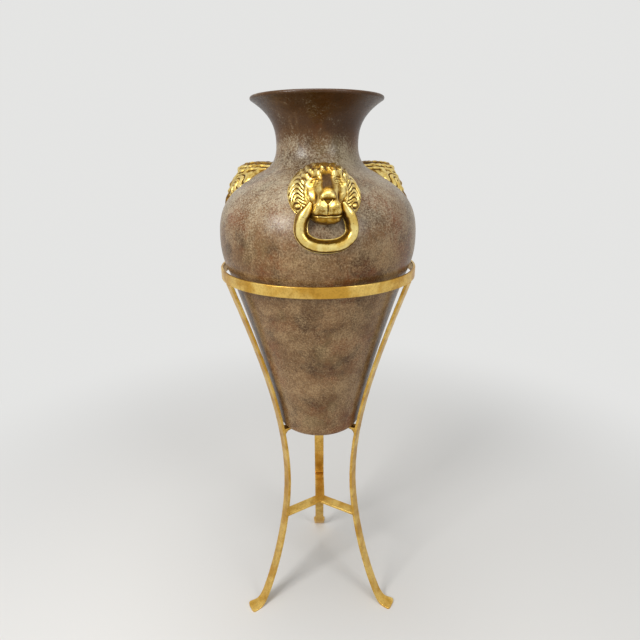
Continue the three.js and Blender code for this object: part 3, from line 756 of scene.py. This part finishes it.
def lion_head(place, azimuth, rows=210, columns=416):
    """A lion's head in relief. In each half plane through the middle of the face, the section is a
    quarter of a superellipse from the face's front to the rim on the wall. The muzzle pushes it straight
    out, the carving pushes it along its normals, and a thin flange of leaf lies on the wall round the
    rim."""
    turn = np.linspace(0, FULL_TURN, columns, endpoint=False)[None, :]
    share = np.linspace(0, 1, rows + 1)[1:, None]
    folded = np.arcsin(np.sin(turn))
    rim = np.interp(np.degrees(folded), RIM_ANGLES, RIM_DISTANCES)
    for _ in range(RIM_ROUNDS):
        rim = (np.roll(rim, 1, 1) + rim + np.roll(rim, -1, 1)) / 3
    rim_across, rim_up = rim * np.cos(turn), rim * np.sin(turn)
    high = np.maximum(np.sin(turn), 0) ** 2
    low = np.maximum(-np.sin(turn), 0) ** 2
    distance_power, depth_power = (sides + crown * high + chin * low for sides, crown, chin in HEAD_POWERS)

    seat = wall_front(rim_across, FACE_HEIGHT + rim_up)
    spread = 1 - (1 - share) ** depth_power
    out = seat + (FACE_FRONT - seat) * (1 - spread**distance_power) ** (1 / depth_power)
    across = rim_across * spread
    up = rim_up * spread - crown_drop(high, out)
    out = out + muzzle(across, up) * smooth(out, seat + 1, seat + 0.75 * (FACE_FRONT - seat))
    bare = np.stack(np.broadcast_arrays(out, across, up), axis=-1)

    steps = np.linalg.norm(np.diff(bare, axis=0, prepend=bare[:1]), axis=-1)
    reach = np.cumsum(steps, axis=0) + np.hypot(across[:1], up[:1])
    distance = np.hypot(across, up)
    chin = smooth(-folded, *CHIN_ANGLES)
    face = 1 - smooth(distance, *FACE_EDGE) * (1 - chin)
    proud, at, half = COLLAR
    hairline = smooth(folded, *COLLAR_START) * (1 - smooth(folded, *COLLAR_END))
    collar = proud * welt(distance - at, half) * hairline * (0.75 + 0.25 * np.sin(19 * folded))
    carved = (face_relief(across, up) + whiskers(across, up)) * face + collar
    carved = carved + mane_relief(across, up, distance, turn, folded, reach) * (1 - chin)
    carved = carved * smooth(reach[-1:] - reach, *RIM_FADE)
    points = bare + facing(bare) * carved[..., None]

    beyond, proud = np.array(FLANGE).T[:, :, None]
    wider = 1 + beyond / rim
    edge_across = rim_across * wider
    edge_up = rim_up * wider - crown_drop(high, seat)
    edge_out = wall_front(edge_across, FACE_HEIGHT + edge_up) + proud
    flange = np.stack([edge_out, edge_across, edge_up + FLANGE_LIFT * proud], axis=-1)
    flange_patina = np.broadcast_to(0.05 + 0.6 * high, (len(FLANGE), columns))

    grid = np.concatenate([points, flange])
    patina_and_shade = np.vstack([head_patina_and_shade(bare, carved, points, face, chin), flange_patina])
    rings = placed(azimuth, grid[..., 0], grid[..., 1], FACE_HEIGHT + grid[..., 2])
    skin(f"lion_head_{place}", rings, LEAF, "vase", "gold_leaf", [f"lion_mask_{place}"], {"patina_and_shade": patina_and_shade})


# Ring: middle line across, and up from the face's middle, as half a stirrup from the jaw to the lowest point
RING_ACROSS = [26.5, 30.5, 36.5, 42.6, 45.2, 44.2, 35.3, 18.7, 0]
RING_UP = [-13, -21, -30, -41.5, -55, -67, -78.5, -85.7, -87]
CORNER_CUTS = 5
RING_TUBE = 9.5
RING_TAPER = 24
RING_REACH = 206
# How much further out the ends of the bar stand, and the distances from an end between which they come out
RING_END_RISE = 2
RING_END_RUN = (50, 10)
# Sides of the web under the bar: share of the way down to the wall, flare, how proud of the wall at its
# end, and patina. The outer side flares by less than the inner one.
WEB = [
    (0.3, 0.3, 0, 0.55),
    (0.6, 0.7, 0, 0.6),
    (0.85, 1.2, 0, 0.65),
    (0.95, 1.8, 0.3, 0.6),
    (1, 2.8, 0.5, 0.1),
    (1, 3.6, 0.4, 0.05),
    (1, 3.8, -0.3, 0.3),
    (1, 2, -3, 0.6),
]
OUTER_FLARE = 0.45


def ring_line(steps):
    """Middle line of a ring: the half outline and its mirror, rounded by repeated corner cutting."""
    half = np.column_stack([RING_ACROSS, RING_UP]) + [0, FACE_HEIGHT]
    line = np.vstack([half, half[-2::-1] * [-1, 1]])
    for _ in range(CORNER_CUTS):
        quarters = [0.75 * line[:-1] + 0.25 * line[1:], 0.25 * line[:-1] + 0.75 * line[1:]]
        line = np.vstack([line[:1], np.stack(quarters, 1).reshape(-1, 2), line[-1:]])
    return evenly(line, steps)


def ring_web(edge, aside, flare_share):
    """One side of a ring's web, from the bar's edge down to the wall. Aside points away from the bar."""
    rows = []
    for share, flare, proud, _ in WEB:
        foot = edge + aside * flare * flare_share
        foot[:, 0] = wall_front(foot[:, 1], foot[:, 2]) + proud
        rows.append(edge + (foot - edge) * share)
    return np.stack(rows, axis=1)


def ring_relief(place, azimuth, steps=260, arc=27):
    """A ring hanging from the jaw, cast with the wall: the outer half of a round bar, with a web that
    runs down to the wall with a little draft and ends in a thin foot of leaf. The bar tapers where it
    goes in under the jaw."""
    line = ring_line(steps)
    across, up = line.T
    length = run_along(line)
    from_end = np.minimum(length, length[-1] - length)
    tube = RING_TUBE * (0.2 + 0.8 * smooth(from_end, -RING_TAPER / 2, RING_TAPER))[:, None]
    out = RING_REACH + RING_END_RISE * smooth(from_end, *RING_END_RUN)
    turn = across / out
    middle = turned(out, turn, up)
    along = np.gradient(middle, axis=0)
    beside = unit(np.cross(along, turned(np.ones(steps), turn, 0)))
    face = unit(np.cross(beside, along))
    angle = np.linspace(-QUARTER_TURN, QUARTER_TURN, arc)
    lumps = 0.16 * np.sin(np.linspace(0, 31, steps))[:, None] * np.cos(2 * angle + 1)
    wide = tube * np.sin(angle)
    deep = (tube + lumps) * np.cos(angle)
    rod = middle[:, None] + beside[:, None] * wide[..., None] + face[:, None] * deep[..., None]

    outer_hand = -np.sign(beside[steps // 2, 2])
    webs = []
    for hand in (1, -1):
        flare_share = OUTER_FLARE if hand == outer_hand else 1
        webs.append(ring_web(middle + beside * hand * tube, beside * hand, flare_share))
    rings = np.concatenate([rod, webs[0], webs[1][:, ::-1]], axis=1)

    # Painted shade: the bar's flanks are browned, so that it looks lit along its crest
    flank_shade = 0.75 * smooth(np.abs(np.sin(angle)), 0.42, 0.97)
    web_patina = np.array(WEB)[:, 3]
    section_patina_and_shade = np.concatenate([flank_shade, web_patina, web_patina[::-1]])
    # Painted shade: what looks down is browned, more where the section is already brown
    downward_shade = 0.55 * smooth(-facing(rings.transpose(1, 0, 2))[..., 2].T, 0.1, 0.85)
    patina_and_shade = np.clip(section_patina_and_shade + np.where(section_patina_and_shade > 0.2, downward_shade, 0.6 * downward_shade), 0, 1)
    where = placed(azimuth, rings[..., 0], rings[..., 1], rings[..., 2])
    skin(f"ring_relief_{place}", where, LEAF, "vase", "gold_leaf", [f"ring_{place}"], {"patina_and_shade": patina_and_shade})


# Flat bar: radius of its eased corners, points on each of them, and steps along each face
BAR_CORNER = 0.9
BAR_CORNER_POINTS = 6
BAR_FACE_STEPS = 8


def bar_section(half_width, half_depth):
    """Rounded rectangle as offsets across and deep, with the mark edge: 1 on corners and 0 on faces."""
    inner = [half_width - BAR_CORNER, half_depth - BAR_CORNER]
    middles = np.array([(1, 1), (-1, 1), (-1, -1), (1, -1)]) * inner
    quarter = np.linspace(0, QUARTER_TURN, BAR_CORNER_POINTS)
    share = np.linspace(0, 1, BAR_FACE_STEPS)[1:-1]
    points, edge = [], []
    for k, middle in enumerate(middles):
        corner = circle(middle, BAR_CORNER, quarter + k * QUARTER_TURN)
        face = corner[-1] + (middles[(k + 1) % 4] - middle) * share[:, None]
        points += [corner, face]
        edge += [np.sin(quarter * 2), 0.6 * np.abs(2 * share - 1) ** 6]
    return np.vstack(points), np.concatenate(edge)


def bar(name, rings, node, edge, **ends):
    """A piece of the stand, with its mark edge."""
    skin(name, rings, GILT, "stand", "gilt_iron", [node], {"edge": edge}, **ends)


def hammered(along, across, size=0.16):
    """Faint unevenness of forged bar: a few sines of different pitch."""
    return size * (np.sin(along / 7.3 + across) + 0.7 * np.sin(along / 3.9 + 2 * across + 1.1)) / 1.7


# Weld of the hoop: its turn in radians, half width, and how much deeper and higher the bar is there
WELD_TURN = 1.1
WELD_HALF = 3.5
WELD_DEEPER = 0.12
WELD_HIGHER = 0.01
HOOP_HAMMER = 0.12
# How much the hoop's inner face is darkened to brown, through the mark edge
INNER_FACE_DARKENING = 1.3


def hoop(sides=420):
    """Flat-bar hoop: its section carried round the axis, with a dressed weld where its ends meet. The
    inner face is darker brown."""
    section, edge = bar_section(HOOP_HALF_HEIGHT, HOOP_HALF_DEPTH)
    high, deep = section.T[:, None, :]
    turn = np.linspace(0, FULL_TURN, sides, endpoint=False)[:, None]
    weld = welt(np.angle(np.exp(1j * (turn - WELD_TURN))) * HOOP_RADIUS, WELD_HALF)
    uneven = hammered(turn * HOOP_RADIUS, high / 6, HOOP_HAMMER) * np.sign(deep) - HOOP_HAMMER
    out = HOOP_RADIUS - HOOP_HALF_DEPTH + deep * (1 + WELD_DEEPER * weld) + uneven
    up = hoop_high.z / MM - HOOP_HALF_HEIGHT + high * (1 + WELD_HIGHER * weld)
    # Worn edges, and the inner face darkened to brown through the same mark
    edge_wear_and_dark_inside = edge + INNER_FACE_DARKENING * (deep < -0.8 * HOOP_HALF_DEPTH)
    bar("hoop_bar", turned(out, turn, up), "hoop", edge_wear_and_dark_inside, endless=True)


# Leg: stations of its outer face from the ankle up, as those of the wall
ANKLE = (165, 35.5, -0.44, 22, 75.5)
WAIST = (94, 366, 0, 117, 175)
LEG_TOP = (HOOP_RADIUS, hoop_low.z / MM - 0.1, 0.34, 129, 0)
# Toe: radius of its end, length of its flat, reach of the instep's curve, thickness, width and rounded end
TOE_END = 209
TOE_FLAT = 19
TOE_HANDLE = 8
TOE_THICKNESS = 4.5
TOE_WIDTH = 33
TOE_ROUND = 6
# Low line of weld across the inner face
BEAD_HEIGHT = 261
BEAD_HALF = 1.5
BEAD_PROUD = 1.1
# Heights between which the hammer marks fade, at toe and top, and the step of their pattern
HAMMER_TOE = (20, 60)
HAMMER_TOP = (840, 855)
HAMMER_STEP = 1.37


def leg_line(count):
    """Outer face of a leg from its butt under the hoop down to the end of the toe, as radius and height."""
    upper = chain([ANKLE, WAIST, LEG_TOP], 160)[::-1]
    ankle_radius, ankle_height, lean, below, _ = ANKLE
    toe_start = TOE_END - TOE_FLAT
    leaving = (ankle_radius - lean * below, ankle_height - below)
    arriving = (toe_start - TOE_HANDLE, TOE_THICKNESS)
    instep = bezier([ANKLE[:2], leaving, arriving, (toe_start, TOE_THICKNESS)], np.linspace(0, 1, 80)[1:])
    flat_radius = np.linspace(toe_start, TOE_END, 20)[1:]
    flat = np.column_stack([flat_radius, np.full_like(flat_radius, TOE_THICKNESS)])
    return evenly(np.vstack([upper, instep, flat]), count)


LEG_LINE = leg_line(700)
LEG_INWARD = right_normal(LEG_LINE)


def leg_inner_radius(height):
    """Radius of a leg's inner face at a height above the toe."""
    inner = LEG_LINE + LEG_INWARD * BAR_THICKNESS
    above = inner[:, 1] > TOE_FLAT
    return np.interp(height, inner[above, 1][::-1], inner[above, 0][::-1])


def leg(place, azimuth):
    """S-curved flat bar: its section carried down the leg's line, flattened and flared into the toe."""
    radius, height = LEG_LINE.T[:, :, None]
    in_radius, in_height = LEG_INWARD.T[:, :, None]
    round_start = TOE_END - TOE_ROUND
    at_toe = height < ANKLE[1]
    flare = smooth(radius, ANKLE[0], round_start) * at_toe
    thickness = BAR_THICKNESS + (TOE_THICKNESS - BAR_THICKNESS) * np.sqrt(flare)
    width = BAR_WIDTH + (TOE_WIDTH - BAR_WIDTH) * flare
    to_end = np.clip((radius - round_start) / TOE_ROUND, 0, 1) * at_toe
    rounding = 0.5 + 0.5 * np.sqrt(1 - to_end**2)
    section, edge = bar_section(BAR_WIDTH / 2, BAR_THICKNESS / 2)
    wide, deep = section.T[:, None, :]
    across = wide * (width / BAR_WIDTH * rounding)
    marks_along = np.arange(len(LEG_LINE))[:, None] * HAMMER_STEP
    forged = smooth(height, *HAMMER_TOE) * (1 - smooth(height, *HAMMER_TOP))
    bead = BEAD_PROUD * welt(height - BEAD_HEIGHT, BEAD_HALF) * (deep > 0)
    depth = (0.5 + deep / BAR_THICKNESS) * thickness + hammered(marks_along, across / 9) * forged + bead
    up = np.clip(height + in_height * depth, 0, height[0])
    rings = placed(azimuth, radius + in_radius * depth, across, up)
    bar(f"leg_bar_{place}", rings, f"leg_{place}", edge, flat_ends=True)


# Brace: slope of its mitres, first point beside the axis, and size of the hammer marks
MITRE_SLOPE = np.tan(np.pi / 3)
BRACE_START = 0.4
BRACE_HAMMER = 0.1


def brace_arm(place, azimuth):
    """One arm of the flat Y brace, from its mitre on the axis out to its leg."""
    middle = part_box(f"brace_{place}")[1].z / MM - BAR_THICKNESS / 2
    end = leg_inner_radius(middle)
    mitre = BAR_WIDTH / 2 / MITRE_SLOPE
    out = np.r_[np.linspace(BRACE_START, mitre, 14), np.linspace(mitre, end, 60)[1:]][:, None]
    section, edge = bar_section(BAR_WIDTH / 2, BAR_THICKNESS / 2)
    wide, deep = section.T[:, None, :]
    across = wide * np.minimum(out * MITRE_SLOPE / (BAR_WIDTH / 2), 1)
    up = middle - BRACE_HAMMER + deep + hammered(out, across / 6, BRACE_HAMMER)
    rings = placed(azimuth, out, across, up)
    bar(f"brace_arm_{place}", rings, f"brace_{place}", edge, flat_ends=True)


# Rest lug: reach of its nose from the leg, height of nose and back, and how far off the leg its curve bends
LUG_REACH = 23
LUG_NOSE = 4.5
LUG_DROP = 17
LUG_HOLLOW = 2
# Places across the lug, with how far the eased edge draws its outline in
LUG_WIDTH = [(-9, 0.9), (-8.7, 0.35), (-8.3, 0.1), (-8, 0), (0, 0), (8, 0), (8.3, 0.1), (8.7, 0.35), (9, 0.9)]


def rest_lug(place, azimuth):
    """Lug under the foot of the vase: flat top, short nose and a hollow curve down to the leg, which is a
    quadratic Bernstein curve. Its outline is carried across its width, drawn in by the eased edge at both
    faces."""
    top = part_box(f"rest_lug_{place}")[1].z / MM + FOOT_RISE
    back_height = top - LUG_DROP * np.linspace(1, 0, 14)
    back = np.column_stack([leg_inner_radius(back_height), back_height])
    nose, nose_low = back[-1, 0] - LUG_REACH, top - LUG_NOSE
    t = np.linspace(0, 1, 22)[:, None]
    bend = np.array([back[0, 0] - LUG_HOLLOW, nose_low])
    hollow = (1 - t) ** 2 * [nose, nose_low] + 2 * t * (1 - t) * bend + t**2 * back[0]
    top_radius = np.linspace(back[-1, 0], nose, 14)[1:-1]
    top_face = np.column_stack([top_radius, np.full_like(top_radius, top)])
    front = np.column_stack([np.full(5, nose), np.linspace(top, nose_low, 5)])
    outline = np.vstack([front, hollow[1:-1], back, top_face])
    across, inset = np.array(LUG_WIDTH).T[:, :, None]
    outlines = outline + unit(outline.mean(0) - outline) * inset[..., None]
    rings = placed(azimuth, outlines[..., 0], across, outlines[..., 1])
    bar(f"lug_{place}", rings, f"rest_lug_{place}", smooth(inset, 0, 0.5), flat_ends=True)


vase_body()
for place, azimuth in HEADS.items():
    lion_head(place, azimuth)
    ring_relief(place, azimuth)
hoop()
for place, azimuth in LEG_AZIMUTHS.items():
    leg(place, azimuth)
    brace_arm(place, azimuth)
    rest_lug(place, azimuth)


# Floor and surroundings, in metres: the floor goes over into their tone between two distances
SURROUNDINGS = (0.78, 0.78, 0.77, 1)
FLOOR_TONE = (0.72, 0.71, 0.69, 1)
FLOOR_HALF = 14.0
FLOOR_FADE = (0.45, 1.8)
# Strength of the surroundings as light on the object
AMBIENT = 0.43
# Lamps: place, target, width, height and power in watts
LAMPS = {
    "key": ((-1.6, -1.65, 2.1), (0, 0, 0.85), 0.9, 1.1, 52),
    "fill": ((1.55, -1.8, 1.9), (0, 0, 0.85), 0.8, 1.1, 18),
    "top": ((-0.1, -0.1, 2.9), (0, 0, 0.7), 1.2, 1.2, 24),
}
# Camera: place from the axis, turns in radians, and focal length and frame in pixels of the photograph
EYE = (-0.0145, -0.9829, 1.0931)
PITCH, YAW, ROLL = 0.3413, -0.0178, -0.0066
FOCAL_PIXELS, FRAME_PIXELS = 464.6, 640
SENSOR_WIDTH = 36
FAR_CLIP = 60


def looked_at(n):
    """Share that is 1 where the camera or a reflection looks, and the node that tells the kinds of rays."""
    path = n.add("LightPath")
    return n.math("MAXIMUM", path.outputs["Is Camera Ray"], path.outputs["Is Glossy Ray"]), path


def floor():
    """Plain pale floor. It takes the object's shadow near the object, and goes over into the tone of the
    surroundings further out, where camera and reflections look at it."""
    material, n, shader = new_material("pale_floor")
    n.fill(shader, Base_Color=FLOOR_TONE, Roughness=0.8)
    away = n.add("VectorMath", {"operation": "LENGTH"}, i0=n.place()).outputs["Value"]
    share = n.math("MULTIPLY", n.ramp(away, *FLOOR_FADE), looked_at(n)[0])
    glow = n.add("Emission", None, Color=SURROUNDINGS, Strength=1.0)
    both = n.add("MixShader", None, i0=share, i1=shader.outputs[0], i2=glow.outputs[0])
    n.fill(n.tree.nodes["Material Output"], Surface=both.outputs[0])
    mesh = bpy.data.meshes.new("floor")
    corners = np.array([(-1, -1, 0), (1, -1, 0), (1, 1, 0), (-1, 1, 0)]) * FLOOR_HALF
    mesh.from_pydata(corners.tolist(), [], [(0, 1, 2, 3)])
    mesh.materials.append(material)
    ground = shown("floor", mesh)


def world():
    """Even pale surroundings: strength 1 to camera and reflections, and dimmer as light on the object."""
    surroundings = bpy.data.worlds.new("surroundings")
    bpy.context.scene.world = surroundings
    surroundings.use_nodes = True
    n = Nodes(surroundings.node_tree)
    background = surroundings.node_tree.nodes["Background"]
    seen, path = looked_at(n)
    seen = n.math("MAXIMUM", seen, path.outputs["Is Transmission Ray"])
    n.fill(background, Color=SURROUNDINGS, Strength=n.ramp(seen, 0.0, 1.0, AMBIENT, 1.0))


def softbox(name, place, target, width, height, power):
    """Area lamp at a place, facing a target."""
    lamp = bpy.data.lights.new(name, "AREA")
    lamp.shape = "RECTANGLE"
    lamp.size, lamp.size_y = width, height
    lamp.energy = power
    turn = (Vector(target) - Vector(place)).to_track_quat("-Z", "Y").to_matrix().to_4x4()
    shown(name, lamp).matrix_world = Matrix.Translation(place) @ turn


def camera():
    """The photograph's view: place, lens and turns come from the hoop's ellipse and the legs' azimuths."""
    forward = np.array([-np.sin(YAW) * np.cos(PITCH), np.cos(YAW) * np.cos(PITCH), -np.sin(PITCH)])
    level = np.array([np.cos(YAW), np.sin(YAW), 0.0])
    upright = np.cross(level, forward)
    right = np.cos(ROLL) * level + np.sin(ROLL) * upright
    up = -np.sin(ROLL) * level + np.cos(ROLL) * upright
    lens = bpy.data.cameras.new("camera")
    lens.sensor_width = SENSOR_WIDTH
    lens.lens = FOCAL_PIXELS / FRAME_PIXELS * SENSOR_WIDTH
    lens.clip_end = FAR_CLIP
    holder = shown("camera", lens)
    turn = Matrix(np.column_stack([right, up, -forward]).tolist()).to_4x4()
    holder.matrix_world = Matrix.Translation((AXIS + EYE).tolist()) @ turn
    bpy.context.scene.camera = holder


floor()
world()
for name, settings in LAMPS.items():
    softbox(name, *settings)
camera()
bpy.context.scene.view_settings.view_transform = "Standard"
